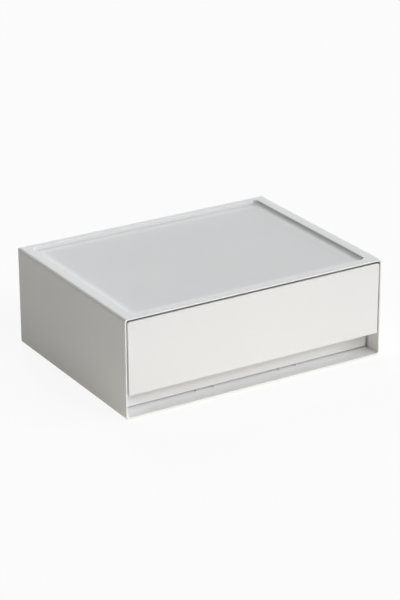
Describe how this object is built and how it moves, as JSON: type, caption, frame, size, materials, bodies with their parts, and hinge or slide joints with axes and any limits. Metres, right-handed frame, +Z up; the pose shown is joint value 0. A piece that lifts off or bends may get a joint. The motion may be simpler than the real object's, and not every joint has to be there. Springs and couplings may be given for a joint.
{
  "type": "drawer box",
  "caption": "Stackable desktop drawer box: a one-piece case with a sunken top and a single drawer opened by the free lower edge of its flush front panel.",
  "frame": {"origin": "middle of the footprint, on the surface under the feet", "axes": "+X along the width to the right as seen from the front, +Y from the front to the back, +Z up; the drawer opens towards -Y"},
  "size_m": [0.34, 0.255, 0.123],
  "materials": {
    "case_plastic": "satin moulded polypropylene, off-white",
    "drawer_plastic": "satin moulded polypropylene, off-white",
    "panel_plastic": "fine matte moulded polypropylene, warm white",
    "foot_rubber": "soft matte"
  },
  "bodies": {
    "case": {"case_shell": "case_plastic", "foot_front_left": "foot_rubber", "foot_front_right": "foot_rubber", "foot_rear_left": "foot_rubber", "foot_rear_right": "foot_rubber"},
    "drawer": {"drawer_tray": "drawer_plastic", "front_panel": "panel_plastic"}
  },
  "joints": [
    {"name": "drawer_slide", "type": "slide", "parent": "case", "child": "drawer", "axis": [0, -1, 0], "range_m": [0, 0.19]}
  ]
}
